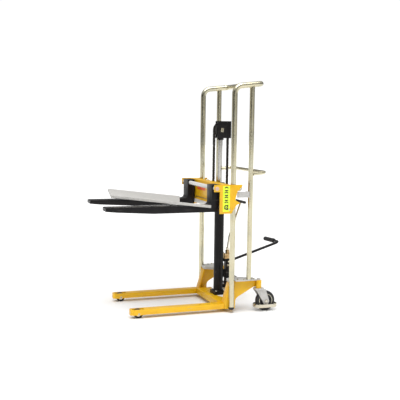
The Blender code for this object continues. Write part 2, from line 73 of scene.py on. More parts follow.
# Camera, in metres and degrees: the place, the heading round +Z, the tilt and the roll.
CAMERA_PLACE = (4.4136, -1.5443, 1.148)
CAMERA_HEADING = 70.18
CAMERA_TILT = -5.755
CAMERA_ROLL = 0.7465
CAMERA_LENS = 66.48


# ---------------------------------------------------------------- places read from the CAD


def low(node):
    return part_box(node)[0]


def high(node):
    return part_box(node)[1]


def middle(node):
    return (low(node) + high(node)) / 2


def size(node):
    return high(node) - low(node)


def joint_place(name):
    return next(Vector(joint["pos_m"]) for joint in frame["joints"] if joint["name"] == name)


TUBE_R = 0.0168
REAR_TUBE_R = 0.0152
MAST_Y = 0.1608
TUBE_X = middle("mast_tube_left").x
REAR_Y = middle("rear_tube_left").y


# ---------------------------------------------------------------- materials


class Tree:
    """A short way to write a node tree."""

    def __init__(self, tree):
        self.tree = tree

    def new(self, kind, **settings):
        made = self.tree.nodes.new(kind)
        for key, value in settings.items():
            setattr(made, key, value)
        return made

    def link(self, output, socket):
        self.tree.links.new(output, socket)

    def ramp(self, source, stops):
        made = self.new("ShaderNodeValToRGB")
        elements = made.color_ramp.elements
        while len(elements) < len(stops):
            elements.new(0.5)
        for element, (position, colour) in zip(elements, stops):
            element.position = position
            element.color = (*colour, 1)
        self.link(source, made.inputs["Fac"])
        return made.outputs["Color"]

    def range(self, source, low, high, from_low=0.3, from_high=0.7):
        made = self.new("ShaderNodeMapRange")
        made.inputs["From Min"].default_value = from_low
        made.inputs["From Max"].default_value = from_high
        made.inputs["To Min"].default_value = low
        made.inputs["To Max"].default_value = high
        self.link(source, made.inputs["Value"])
        return made.outputs["Result"]

    def mix(self, factor, first, second):
        made = self.new("ShaderNodeMix", data_type="RGBA")
        self.link(factor, made.inputs["Factor"])
        for value, socket in ((first, made.inputs["A"]), (second, made.inputs["B"])):
            if isinstance(value, tuple):
                socket.default_value = (*value, 1)
            else:
                self.link(value, socket)
        return made.outputs["Result"]


class Nodes(Tree):
    """A material's tree, with its shader and the object's own coordinates."""

    def __init__(self, name):
        self.material = bpy.data.materials.new(name)
        self.material.use_nodes = True
        super().__init__(self.material.node_tree)
        self.shader = self.tree.nodes["Principled BSDF"]
        self.place = self.new("ShaderNodeTexCoord").outputs["Object"]

    def set(self, **values):
        for key, value in values.items():
            self.shader.inputs[key.replace("_", " ")].default_value = value

    def colour(self, source):
        self.link(source, self.shader.inputs["Base Color"])

    def rough(self, source):
        self.link(source, self.shader.inputs["Roughness"])

    def stretched(self, scale):
        mapping = self.new("ShaderNodeMapping")
        mapping.inputs["Scale"].default_value = scale
        self.link(self.place, mapping.inputs["Vector"])
        return mapping.outputs["Vector"]

    def noise(self, scale, detail, roughness=0.55, place=None):
        made = self.new("ShaderNodeTexNoise")
        made.inputs["Scale"].default_value = scale
        made.inputs["Detail"].default_value = detail
        made.inputs["Roughness"].default_value = roughness
        self.link(place or self.place, made.inputs["Vector"])
        return made.outputs["Fac"]

    def bump(self, height, strength, distance, after=None):
        made = self.new("ShaderNodeBump")
        made.inputs["Strength"].default_value = strength
        made.inputs["Distance"].default_value = distance
        self.link(height, made.inputs["Height"])
        if after is not None:
            self.link(after, made.inputs["Normal"])
        self.link(made.outputs["Normal"], self.shader.inputs["Normal"])
        return made.outputs["Normal"]


def yellow_paint():
    n = Nodes("yellow_enamel")
    blotch = n.noise(9, 5)
    shades = [(0.3, (0.76, 0.40, 0.003)), (0.5, (0.83, 0.465, 0.004)), (0.72, (0.88, 0.52, 0.006))]
    colour = n.ramp(blotch, shades)
    grime = n.range(n.noise(38, 8, 0.7), 0.0, 0.22, 0.58, 0.8)
    colour = n.mix(grime, colour, (0.42, 0.20, 0.02))
    scratch = n.range(n.noise(55, 2, 0.5, n.stretched((1, 0.15, 2.6))), 0.0, 1.0, 0.69, 0.74)
    colour = n.mix(scratch, colour, (0.62, 0.47, 0.20))
    n.colour(colour)
    n.rough(n.range(n.noise(24, 6), 0.26, 0.44))
    n.set(Coat_Weight=0.2, Coat_Roughness=0.15, Specular_IOR_Level=0.4)
    peel = n.bump(n.noise(420, 2), 0.10, 0.0006)
    n.bump(n.noise(30, 3), 0.08, 0.002, peel)
    return n.material


def black_paint():
    n = Nodes("black_enamel")
    blotch = n.noise(14, 5)
    colour = n.ramp(blotch, [(0.3, (0.0035, 0.003, 0.0035)), (0.7, (0.009, 0.008, 0.009))])
    dust = n.range(n.noise(60, 9, 0.75), 0.0, 0.25, 0.6, 0.82)
    colour = n.mix(dust, colour, (0.035, 0.032, 0.028))
    scratch = n.range(n.noise(42, 2, 0.5, n.stretched((3.4, 0.1, 1))), 0.0, 0.8, 0.68, 0.73)
    colour = n.mix(scratch, colour, (0.06, 0.055, 0.05))
    n.colour(colour)
    n.rough(n.range(n.noise(30, 7), 0.3, 0.5))
    n.set(Coat_Weight=0.03, Coat_Roughness=0.2, Specular_IOR_Level=0.2)
    n.bump(n.noise(360, 3), 0.12, 0.0006)
    return n.material


def bright_zinc(name="bright_zinc", along=(1, 1, 0.03), tint=(0.62, 0.60, 0.465)):
    """Plated tube, drawn along one axis."""
    n = Nodes(name)
    cloud = n.noise(7, 5)
    dark = tuple(c * 0.72 for c in tint)
    warm = (tint[0] * 0.98, tint[1] * 0.93, tint[2] * 0.84)
    colour = n.ramp(cloud, [(0.28, dark), (0.5, warm), (0.7, tint)])
    speck = n.range(n.noise(130, 6, 0.7), 0.0, 0.45, 0.6, 0.78)
    colour = n.mix(speck, colour, (0.36, 0.34, 0.30))
    n.colour(colour)
    lines = n.noise(260, 3, 0.6, n.stretched(along))
    n.rough(n.range(lines, 0.12, 0.26))
    n.set(Metallic=1.0)
    n.bump(lines, 0.06, 0.0004)
    return n.material


def chrome():
    n = Nodes("hard_chrome")
    haze = n.noise(16, 6)
    n.colour(n.ramp(haze, [(0.3, (0.46, 0.45, 0.425)), (0.7, (0.56, 0.55, 0.52))]))
    lines = n.noise(300, 3, 0.6, n.stretched((1, 1, 0.02)))
    n.rough(n.range(lines, 0.06, 0.18))
    n.set(Metallic=1.0)
    n.bump(lines, 0.03, 0.0003)
    return n.material


def satin_chrome():
    n = Nodes("satin_chrome")
    n.colour(n.ramp(n.noise(18, 5), [(0.3, (0.74, 0.73, 0.70)), (0.7, (0.86, 0.85, 0.83))]))
    lines = n.noise(280, 3, 0.6, n.stretched((0.03, 1, 1)))
    n.rough(n.range(lines, 0.3, 0.45))
    n.set(Metallic=0.3)
    n.bump(lines, 0.04, 0.0003)
    return n.material


def sheet_steel():
    """Galvanised sheet: faint spangle, rolling lines and dull rub marks."""
    n = Nodes("galvanised_sheet")
    spangle = n.new("ShaderNodeTexVoronoi", feature="F1")
    spangle.inputs["Scale"].default_value = 85
    n.link(n.place, spangle.inputs["Vector"])
    flakes = n.ramp(spangle.outputs["Color"], [(0.2, (0.50, 0.49, 0.465)), (0.8, (0.56, 0.55, 0.53))])
    cloud = n.range(n.noise(6, 6, 0.6), 0.0, 0.55, 0.35, 0.75)
    colour = n.mix(cloud, flakes, (0.53, 0.51, 0.465))
    marks = n.range(n.noise(26, 3, 0.5, n.stretched((0.12, 2.4, 1))), 0.0, 0.22, 0.62, 0.72)
    colour = n.mix(marks, colour, (0.42, 0.40, 0.36))
    n.colour(colour)
    n.rough(n.range(n.noise(48, 6), 0.34, 0.56))
    n.set(Metallic=0.25)
    n.bump(spangle.outputs["Distance"], 0.03, 0.0003)
    return n.material


def brass():
    n = Nodes("dull_brass")
    cloud = n.noise(45, 6)
    shades = [(0.3, (0.40, 0.24, 0.10)), (0.55, (0.66, 0.45, 0.22)), (0.75, (0.78, 0.60, 0.36))]
    n.colour(n.ramp(cloud, shades))
    n.rough(n.range(n.noise(90, 5), 0.25, 0.5))
    n.set(Metallic=1.0)
    n.bump(n.noise(300, 3), 0.1, 0.0005)
    return n.material


def oiled_chain():
    n = Nodes("oiled_chain")
    film = n.noise(120, 6, 0.65)
    n.colour(n.ramp(film, [(0.3, (0.010, 0.009, 0.008)), (0.7, (0.05, 0.045, 0.04))]))
    n.rough(n.range(n.noise(200, 4), 0.2, 0.45))
    n.set(Metallic=0.85)
    n.bump(film, 0.1, 0.0004)
    return n.material


def rubber(name, colour, grain):
    n = Nodes(name)
    cloud = n.noise(22, 6, 0.65)
    worn = tuple(min(1, c * 2.6 + 0.012) for c in colour)
    n.colour(n.ramp(cloud, [(0.35, colour), (0.75, worn)]))
    n.rough(n.range(n.noise(70, 5), 0.5, 0.78))
    n.set(Specular_IOR_Level=0.35)
    n.bump(n.noise(grain, 5, 0.7), 0.25, 0.0006)
    return n.material


def label_film():
    n = Nodes("fluorescent_label")
    cloud = n.noise(60, 4)
    n.colour(n.ramp(cloud, [(0.3, (0.68, 0.93, 0.012)), (0.7, (0.82, 1.0, 0.03))]))
    n.rough(n.range(n.noise(150, 4), 0.22, 0.36))
    n.set(Coat_Weight=0.3, Coat_Roughness=0.1)
    n.bump(n.noise(500, 2), 0.05, 0.0003)
    return n.material


def weld_metal():
    n = Nodes("weld_bead")
    ripple = n.noise(260, 4, 0.6)
    n.colour(n.ramp(ripple, [(0.3, (0.34, 0.33, 0.31)), (0.7, (0.62, 0.61, 0.57))]))
    n.rough(n.range(ripple, 0.3, 0.5))
    n.set(Metallic=0.9)
    n.bump(ripple, 0.5, 0.0008)
    return n.material


def film(name, colour):
    """A thin plain coat: a label's colour, or copper wash on steel."""
    n = Nodes(name)
    dim = tuple(c * 0.8 for c in colour)
    n.colour(n.ramp(n.noise(70, 5), [(0.3, dim), (0.7, colour)]))
    n.rough(n.range(n.noise(150, 4), 0.24, 0.4))
    n.bump(n.noise(400, 2), 0.05, 0.0003)
    return n.material


YELLOW = yellow_paint()
BLACK = black_paint()
ZINC = bright_zinc()
ZINC_ACROSS = bright_zinc("bright_zinc_across", (0.03, 1, 1))
HARDWARE = bright_zinc("plated_hardware", (1, 1, 1), (0.62, 0.60, 0.52))
CHROME = chrome()
CHROME_BAR = satin_chrome()
SHEET = sheet_steel()
BRASS = brass()
CHAIN = oiled_chain()
TYRE = rubber("solid_tyre", (0.012, 0.012, 0.012), 240)
GRIP = rubber("moulded_grip", (0.010, 0.010, 0.011), 420)
CAP = rubber("plastic_cap", (0.016, 0.016, 0.016), 150)
LABEL = label_film()
WELD = weld_metal()
DARK_STEEL = rubber("dark_steel", (0.02, 0.019, 0.018), 300)
COPPER = film("washed_copper", (0.72, 0.50, 0.40))
PANEL = film("orange_panel", (0.80, 0.10, 0.012))


# ---------------------------------------------------------------- shapes


def new_object(name, bm, material):
    mesh = bpy.data.meshes.new(name)
    bmesh.ops.recalc_face_normals(bm, faces=bm.faces)
    bm.to_mesh(mesh)
    bm.free()
    obj = bpy.data.objects.new(name, mesh)
    bpy.context.scene.collection.objects.link(obj)
    mesh.materials.append(material)
    return obj


def smooth(obj, angle):
    for face in obj.data.polygons:
        face.use_smooth = True
    obj.data.set_sharp_from_angle(angle=math.radians(angle))
    return obj


def round_edges(obj, width, segments):
    """Rounds the edges with a bevel, then shades the flats flat and the rounds smooth."""
    bevel = obj.modifiers.new("round_edges", "BEVEL")
    bevel.width = width
    bevel.segments = segments
    bevel.limit_method = "ANGLE"
    bevel.angle_limit = math.radians(32)
    bevel.harden_normals = True
    for face in obj.data.polygons:
        face.use_smooth = True
    return obj


def finish_piece(obj, body, *nodes):
    """Rides on a body and stands for the CAD nodes named."""
    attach(obj, body)
    if nodes:
        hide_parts(*nodes)
    return obj


def refined(node, body, material, width, segments=3):
    """A finer copy of a CAD node: flats merged into clean faces, edges rounded."""
    bm = bmesh.new()
    bm.from_mesh(frame["nodes"][node].data)
    bm.transform(frame["nodes"][node].matrix_world)
    bmesh.ops.remove_doubles(bm, verts=bm.verts, dist=2e-5)
    bmesh.ops.dissolve_limit(bm, angle_limit=math.radians(2), verts=bm.verts, edges=bm.edges)
    obj = new_object(node + "_finished", bm, material)
    round_edges(obj, width, segments)
    return finish_piece(obj, body, node)


def turn_to(direction):
    """The turn that lays the Z axis along a direction."""
    return Z_AXIS.rotation_difference(Vector(direction).normalized()).to_matrix().to_4x4()


def mirrored(width, *points, crown=()):
    """A closed section: points from one face, then the same points counted from the other face."""
    return [*points, *crown, *((width - along, radius) for along, radius in reversed(points)), points[0]]


def turned(name, material, start, direction, profile, segments=64):
    """A turned shape: (distance along the axis, radius) points, spun round a line from start."""
    bm = bmesh.new()
    verts = [bm.verts.new((radius, 0, along)) for along, radius in profile]
    edges = [bm.edges.new(pair) for pair in zip(verts, verts[1:])]
    bmesh.ops.spin(
        bm, geom=verts + edges, axis=(0, 0, 1), cent=(0, 0, 0), angle=2 * math.pi, steps=segments
    )
    bmesh.ops.remove_doubles(bm, verts=bm.verts, dist=1e-6)
    bmesh.ops.dissolve_degenerate(bm, edges=bm.edges, dist=1e-7)
    bm.transform(Matrix.Translation(start) @ turn_to(direction))
    return smooth(new_object(name, bm, material), 30)


def round_bar(name, material, start, end, radius, chamfer=0.001, segments=64):
    """A solid round bar with a small chamfer at each end."""
    start, end = Vector(start), Vector(end)
    length = (end - start).length
    profile = [(0, 0), (0, radius - chamfer), (chamfer, radius)]
    profile += [(length - chamfer, radius), (length, radius - chamfer), (length, 0)]
    return turned(name, material, start, end - start, profile, segments)


BEND_STEPS = 14


def smooth_path(corners, bend):
    """The corners of a path with each inner one rounded to the bend radius."""
    corners = [Vector(corner) for corner in corners]
    path = [corners[0]]
    for before, corner, after in zip(corners, corners[1:], corners[2:]):
        back = (before - corner).normalized()
        ahead = (after - corner).normalized()
        half = back.angle(ahead) / 2
        reach = bend / math.tan(half)
        centre = corner + (back + ahead).normalized() * (bend / math.sin(half))
        first = corner + back * reach - centre
        last = corner + ahead * reach - centre
        path += [centre + bend * first.slerp(last, i / BEND_STEPS) for i in range(BEND_STEPS + 1)]
    return path + [corners[-1]]


def pipe(name, material, path, radius, sides):
    """A round tube along a path, as a clean mesh with filled ends."""
    bm = bmesh.new()
    rings = []
    tangent = (path[1] - path[0]).normalized()
    across = tangent.orthogonal().normalized()
    for i, place in enumerate(path):
        ahead = path[min(i + 1, len(path) - 1)] - path[max(i - 1, 0)]
        ahead.normalize()
        across = (tangent.rotation_difference(ahead) @ across).normalized()
        tangent = ahead
        other = tangent.cross(across)
        ring = []
        for k in range(sides):
            angle = 2 * math.pi * k / sides
            ring.append(bm.verts.new(place + radius * (math.cos(angle) * across + math.sin(angle) * other)))
        rings.append(ring)
    for first, second in zip(rings, rings[1:]):
        for k in range(sides):
            bm.faces.new((first[k], first[(k + 1) % sides], second[(k + 1) % sides], second[k]))
    bm.faces.new(rings[0])
    bm.faces.new(rings[-1])
    return smooth(new_object(name, bm, material), 40)


def hexagon(name, body, place, direction, across, height, washer=True):
    """A hexagon bolt head or nut with a chamfered crown, standing on its washer."""
    radius = across / math.sqrt(3)
    bm = bmesh.new()
    lift = 0.0
    if washer:
        lift = 0.0016
        bmesh.ops.create_cone(
            bm, cap_ends=True, segments=32, radius1=across * 0.62, radius2=across * 0.6,
            depth=lift, matrix=Matrix.Translation((0, 0, lift / 2)),
        )
    bmesh.ops.create_cone(
        bm, cap_ends=True, segments=6, radius1=radius, radius2=radius,
        depth=height * 0.8, matrix=Matrix.Translation((0, 0, lift + height * 0.4)),
    )
    bmesh.ops.create_cone(
        bm, cap_ends=True, segments=24, radius1=across * 0.49, radius2=across * 0.42,
        depth=height * 0.2, matrix=Matrix.Translation((0, 0, lift + height * 0.9)),
    )
    bm.transform(Matrix.Translation(place) @ turn_to(direction))
    finish_piece(round_edges(new_object(name, bm, HARDWARE), 0.0003, 2), body)


def weld(name, material, path, radius):
    """A rippled weld bead along a path on the frame."""
    thick = []
    for first, second in zip(path, path[1:]):
        steps = max(1, round((second - first).length / 0.0022))
        thick += [first.lerp(second, k / steps) for k in range(steps)]
    thick.append(path[-1])
    obj = pipe(name, material, thick, radius, 12)
    for i, vert in enumerate(obj.data.vertices):
        ring = i // 12
        middle_point = thick[min(ring, len(thick) - 1)]
        vert.co = middle_point + (vert.co - middle_point) * (1.0 + 0.14 * math.sin(2.1 * ring))
    finish_piece(obj, "frame")


def circle_path(centre, radius, direction, steps=48):
    direction = Vector(direction).normalized()
    across = direction.orthogonal().normalized()
    other = direction.cross(across)
    return [
        Vector(centre) + radius * (math.cos(a) * across + math.sin(a) * other)
        for a in (2 * math.pi * k / steps for k in range(steps + 1))
    ]


def slab(name, material, outline, low_x, high_x, edge, segments):
    """A plate that faces sideways: an outline of (y, z) points between two places along X."""
    bm = bmesh.new()
    near = [bm.verts.new((low_x, y, z)) for y, z in outline]
    far = [bm.verts.new((high_x, y, z)) for y, z in outline]
    bm.faces.new(near)
    bm.faces.new(list(reversed(far)))
    for i in range(len(outline)):
        k = (i + 1) % len(outline)
        bm.faces.new((near[k], near[i], far[i], far[k]))
    return round_edges(new_object(name, bm, material), edge, segments)


def block(name, material, low_corner, high_corner, edge, segments=3):
    """A rounded block between two corners."""
    low_corner, high_corner = Vector(low_corner), Vector(high_corner)
    bm = bmesh.new()
    place = Matrix.Translation((low_corner + high_corner) / 2)
    extent = Matrix.Diagonal((*(high_corner - low_corner), 1))
    bmesh.ops.create_cube(bm, size=1, matrix=place @ extent)
    return round_edges(new_object(name, bm, material), edge, segments)


GRIP_LEAD = 0.006


def ribbed_profile(length, radius, ribs, depth):
    """A grip from end to end: rounded ends and a row of rings."""
    points = [(0, 0), (0, radius * 0.72), (0.0016, radius * 0.93), (0.0045, radius)]
    start = GRIP_LEAD + 0.0045
    pitch = (length - 2 * start) / ribs
    for i in range(ribs):
        place = start + i * pitch
        points += [
            (place, radius), (place + pitch * 0.18, radius - depth),
            (place + pitch * 0.42, radius - depth), (place + pitch * 0.6, radius),
        ]
    points += [
        (length - 0.0045, radius), (length - 0.0016, radius * 0.93), (length, radius * 0.72),
        (length, 0),
    ]
    return points


# ---------------------------------------------------------------- mast and handles

RAIL_Z = 1.386
RAIL_SLOPE = 0.113
RAIL_BEND = 0.05
HANDLE_BEND = 0.027
TUBE_LOW = low("mast_tube_left").z
RAIL_END_Y = high("mast_tube_left").y - MAST_Y
HANDLE_R = 0.011
HANDLE_SLOPE = 0.1
WELD_R = 0.0021
CAP_LENGTH = 0.017


def at(x, y, z):
    """A point whose Y is counted from the two front mast tubes."""
    return Vector((x, y + MAST_Y, z))


def rail_height(y):
    return RAIL_Z + RAIL_SLOPE * y


def saddle_path(x, radius):
    """Where an upright rear tube meets the rail above it."""
    path = []
    for k in range(41):
        angle = 2 * math.pi * k / 40
        across, along = radius * math.cos(angle), radius * math.sin(angle)
        y = REAR_Y - MAST_Y + along
        drop = math.sqrt(TUBE_R**2 - across**2) if abs(across) < TUBE_R else 0.0
        path.append(at(x + across, y, rail_height(y) - drop - 0.0006))
    return path


def add_mast():
    for side, s in SIDES:
        x = s * TUBE_X
        joint = at(x, RAIL_END_Y, rail_height(RAIL_END_Y))
        path = smooth_path((at(x, 0, TUBE_LOW + 0.004), at(x, 0, RAIL_Z), joint), RAIL_BEND)
        tube = pipe("mast_tube_" + side + "_finished", ZINC, path, TUBE_R, 56)
        finish_piece(tube, "frame", "mast_tube_" + side)
        cap = turned(
            "tube_cap_" + side, CAP, at(x, 0, TUBE_LOW), Z_AXIS,
            [
                (0, 0), (0, TUBE_R - 0.003), (0.0015, TUBE_R - 0.0004), (0.003, TUBE_R + 0.0006),
                (CAP_LENGTH - 0.0015, TUBE_R + 0.0006), (CAP_LENGTH, TUBE_R - 0.0004),
            ],
        )
        finish_piece(cap, "frame")
        low_z, high_z = low("rear_tube_" + side).z, high("rear_tube_" + side).z
        rear = REAR_Y - MAST_Y
        upright = round_bar(
            "rear_tube_" + side + "_finished", ZINC, at(x, rear, low_z),
            at(x, rear, high_z + 0.012), REAR_TUBE_R, 0.0004,
        )
        finish_piece(upright, "frame", "rear_tube_" + side)
        weld("rail_weld_" + side, ZINC, saddle_path(x, REAR_TUBE_R + 0.0002), WELD_R)
        foot = circle_path(at(x, rear, low_z + 0.0006), REAR_TUBE_R + 0.0005, Z_AXIS)
        weld("tube_foot_weld_" + side, WELD, foot, WELD_R)
        seam = circle_path(joint, TUBE_R - 0.0005, (0, 1, RAIL_SLOPE))
        weld("rail_seam_" + side, ZINC, seam, 0.0014)
        socket = at(x, rear + REAR_TUBE_R - 0.0002, low("push_handle").z + HANDLE_R)
        ring = circle_path(socket, HANDLE_R, (0, 1, HANDLE_SLOPE))
        weld("handle_weld_" + side, ZINC, ring, WELD_R)
    bar_y = high("top_handle").y - MAST_Y - TUBE_R
    add_handle("top_handle", RAIL_END_Y, bar_y, rail_height(RAIL_END_Y), RAIL_SLOPE, TUBE_R)
    start_y = low("push_handle").y - MAST_Y
    bar_y = high("push_handle").y - MAST_Y - HANDLE_R
    start_z = low("push_handle").z + HANDLE_R
    add_handle("push_handle", start_y - 0.002, bar_y, start_z, HANDLE_SLOPE, HANDLE_R)


def add_handle(name, start_y, bar_y, start_z, slope, radius):
    bar_z = start_z + slope * (bar_y - start_y)
    corners = (
        at(TUBE_X, start_y, start_z),
        at(TUBE_X, bar_y, bar_z),
        at(-TUBE_X, bar_y, bar_z),
        at(-TUBE_X, start_y, start_z),
    )
    bar = pipe(name + "_finished", ZINC_ACROSS, smooth_path(corners, HANDLE_BEND), radius, 48)
    finish_piece(bar, "frame", name)


# ---------------------------------------------------------------- legs, base and pump stand


GUSSET_X = (0.2524, 0.2588)
TUBE_WELD_Y = 0.0052
TUBE_WELD_Z = (0.06, 0.19)
LEG_WELD_Y = (-0.03, -0.01, 0.016)
BASE_BOLT_INSET = 0.011
FOOT_PLATE_BOLTS = ((0.283, 0.079), (0.262, 0.045), (0.283, 0.146), (0.252, 0.148))


def add_base():
    for side, s in SIDES:
        refined("leg_" + side, "frame", YELLOW, 0.0025, 4)
        refined("gusset_" + side, "frame", YELLOW, 0.0009)
        refined("foot_plate_" + side, "frame", SHEET, 0.0012)
        add_leg_details(side, s)
        add_foot_plate_bolts(side, s)
        add_gusset_welds(side, s)
    refined("cross_member", "frame", YELLOW, 0.0028, 4)
    refined("cylinder_base", "frame", BLACK, 0.0015)
    box_low, box_high = low("cylinder_base"), high("cylinder_base")
    for i, (x, y) in enumerate(((1, -1), (-1, -1), (1, 1), (-1, 1))):
        place = (
            (box_low.x + BASE_BOLT_INSET, box_high.x - BASE_BOLT_INSET)[x > 0],
            (box_low.y + BASE_BOLT_INSET, box_high.y - BASE_BOLT_INSET)[y > 0],
            box_high.z,
        )
        hexagon(f"base_bolt_{i + 1}", "frame", place, Z_AXIS, 0.010, 0.005)


def add_leg_details(side, s):
    name = "load_roller_" + side
    centre = middle(name)
    half = size(name).x / 2
    radius = size(name).z / 2
    tread = turned(
        name + "_tread", TYRE, centre - X_AXIS * half, X_AXIS,
        mirrored(
            2 * half, (0.0008, radius * 0.62), (0.0, radius * 0.8), (0.0, radius - 0.003),
            (0.0012, radius - 0.0008), (0.0035, radius),
        ),
        72,
    )
    finish_piece(tread, name, name)
    hub = turned(
        name + "_hub", HARDWARE, centre - X_AXIS * half, X_AXIS,
        mirrored(
            2 * half, (0.0012, 0.005), (0.0012, 0.009), (0.0032, 0.0095), (0.0032, 0.016),
            (0.0012, 0.0168), (0.0012, radius * 0.63),
        ),
    )
    finish_piece(hub, name)
    axle = "roller_axle_" + side
    reach = size("leg_" + side).x / 2
    pin = turned(
        axle + "_finished", HARDWARE, middle(axle) - X_AXIS * (reach + 0.0005), X_AXIS,
        [
            (0, 0), (0, 0.0028), (0.0006, 0.0042), (0.0018, 0.0045), (2 * reach - 0.0008, 0.0045),
            (2 * reach + 0.0004, 0.0042), (2 * reach + 0.001, 0.0028), (2 * reach + 0.001, 0),
        ],
        48,
    )
    finish_piece(pin, "frame", axle)
    for k in (-1, 1):
        ring = turned(
            f"{axle}_ring_{'out' if k == s else 'in'}", HARDWARE,
            middle(axle) + X_AXIS * (k * (reach + 0.0002) - 0.0004), X_AXIS,
            [(0, 0.0045), (0, 0.0062), (0.0008, 0.0062), (0.0008, 0.0045), (0, 0.0045)], 40,
        )
        finish_piece(ring, "frame")


def add_foot_plate_bolts(side, s):
    top = high("foot_plate_" + side).z
    for i, (x, y) in enumerate(FOOT_PLATE_BOLTS):
        place = at(s * x, y, top)
        hexagon(f"foot_plate_bolt_{side}_{i + 1}", "frame", place, Z_AXIS, 0.009, 0.0048)


def add_gusset_welds(side, s):
    for k, word in ((-1, "front"), (1, "rear")):
        path = [at(s * GUSSET_X[1], k * TUBE_WELD_Y, z) for z in TUBE_WELD_Z]
        weld(f"tube_weld_{side}_{word}", YELLOW, path, 0.0023)
    top = high("leg_" + side).z
    path = [at(s * GUSSET_X[0], y, top + 0.0004) for y in LEG_WELD_Y]
    weld("leg_weld_" + side, YELLOW, path, WELD_R)
    edge = s * (low("leg_left").x - 0.0003)
    front, rear = low("cross_member").y - MAST_Y, high("cross_member").y - MAST_Y
    path = [at(edge, front + 0.004, top - 0.0002), at(edge, rear - 0.034, top - 0.0002)]
    weld("cross_weld_" + side, YELLOW, path, WELD_R)


# ---------------------------------------------------------------- casters


CASTER_WHEEL_HALF = 0.016


def add_casters():
    for side, _ in SIDES:
        refined("caster_housing_" + side, "frame", YELLOW, 0.001)
        refined("caster_fork_" + side, "caster_" + side, SHEET, 0.0007)
        refined("toe_guard_" + side, "caster_" + side, HARDWARE, 0.0012)
        refined("caster_axle_" + side, "caster_" + side, HARDWARE, 0.0005)
        add_caster_wheel(side)


def add_caster_wheel(side):
    node = "caster_wheel_" + side
    axle = middle("caster_axle_" + side)
    along = caster_axis(side)
    radius = size(node).z / 2
    half = CASTER_WHEEL_HALF
    tyre = turned(
        node + "_tyre", TYRE, axle - along * half, along,
        mirrored(
            2 * half, (0.0032, radius * 0.7), (0.001, radius * 0.74), (0.0, radius * 0.82),
            (0.0008, radius - 0.0055), (0.0035, radius - 0.0018), (0.008, radius - 0.0002),
            crown=[(half, radius)],
        ),
        96,
    )
    finish_piece(tyre, node, node)
    rim = turned(
        node + "_rim", CAP, axle - along * half, along,
        mirrored(
            2 * half, (0.003, 0.0056), (0.0012, 0.0075), (0.0012, 0.0135), (0.003, 0.015),
            (0.0075, 0.017), (0.009, 0.022), (0.009, 0.033), (0.0065, 0.038), (0.0022, 0.0405),
            (0.0022, radius * 0.715),
        ),
        80,
    )
    for k in (-1, 1):
        start = axle + along * (k * (half - 0.0026))
        section = [(0, 0.0412), (0, 0.0445), (0.0016, 0.0445)]
        section += [(0.002, 0.0438), (0.002, 0.0419), (0.0016, 0.0412), (0, 0.0412)]
        ring = turned(f"{node}_ring_{k + 2}", HARDWARE, start, along * k, section, 80)
        finish_piece(ring, node)
    finish_piece(rim, node)


def caster_axis(side):
    """The way a caster's axle points, from its swivel joint and its wheel."""
    pivot = joint_place("caster_" + side + "_swivel")
    trail = middle("caster_wheel_" + side) - pivot
    trail.z = 0
    return trail.normalized().cross(Z_AXIS)


# ---------------------------------------------------------------- lift cylinder, ram and chain


ROD_R = 0.014
BARREL_BORE_R = 0.018
PIN_R = 0.007
PIN_HALF = 0.0225


def add_lift():
    refined("pulley_yoke", "ram", BLACK, 0.0018, 4)
    refined("chain_anchor", "frame", BLACK, 0.001)
    base = low("lift_cylinder")
    radius = size("lift_cylinder").x / 2
    centre = middle("lift_cylinder")
    length = size("lift_cylinder").z
    barrel = turned(
        "lift_cylinder_finished", BLACK, (centre.x, centre.y, base.z), Z_AXIS,
        [
            (0, 0), (0, radius - 0.001), (0.001, radius), (length - 0.022, radius),
            (length - 0.021, radius - 0.0012), (length - 0.018, radius - 0.0012),
            (length - 0.017, radius), (length - 0.001, radius), (length, radius - 0.001),
            (length, BARREL_BORE_R), (length - 0.03, BARREL_BORE_R), (length - 0.03, 0),
        ],
        96,
    )
    finish_piece(barrel, "frame", "lift_cylinder")
    foot = circle_path((centre.x, centre.y, base.z + 0.001), radius, Z_AXIS, 72)
    weld("cylinder_foot_weld", BLACK, foot, 0.0028)
    add_gland()
    add_ram_rod()
    add_pulley()
    add_chains()


def add_gland():
    centre = middle("cylinder_gland")
    base, top = low("cylinder_gland").z, high("cylinder_gland").z
    radius = size("cylinder_gland").x / 2
    height = top - base
    gland = turned(
        "cylinder_gland_finished", BLACK, (centre.x, centre.y, base), Z_AXIS,
        [
            (0, 0.0146), (0, radius - 0.001), (0.001, radius), (0.007, radius),
            (0.008, radius - 0.0012), (0.010, radius - 0.0012), (0.011, radius),
            (height - 0.0025, radius), (height, radius - 0.0025), (height, 0.0215),
            (height - 0.0025, 0.0205), (height - 0.0025, 0.0146), (0, 0.0146),
        ],
        96,
    )
    finish_piece(gland, "frame", "cylinder_gland")
    wiper = turned(
        "rod_wiper", CAP, (centre.x, centre.y, top - 0.0035), Z_AXIS,
        [
            (0, 0.0142), (0, 0.0204), (0.0022, 0.0204), (0.003, 0.0196), (0.0042, 0.0148),
            (0.0042, 0.0142), (0, 0.0142),
        ],
        72,
    )
    finish_piece(wiper, "frame")


def add_ram_rod():
    centre = middle("ram_rod")
    base, top = low("ram_rod").z, high("ram_rod").z
    foot, head = (centre.x, centre.y, base), (centre.x, centre.y, top + 0.006)
    rod = round_bar("ram_rod_finished", CHROME, foot, head, ROD_R, 0.001, 80)
    finish_piece(rod, "ram", "ram_rod")
    collar = turned(
        "ram_collar", BLACK, (centre.x, centre.y, top - 0.011), Z_AXIS,
        [(0, 0.0141), (0, 0.0195), (0.001, 0.0205), (0.0115, 0.0205), (0.0115, 0.0141), (0, 0.0141)],
        64,
    )
    finish_piece(collar, "ram")


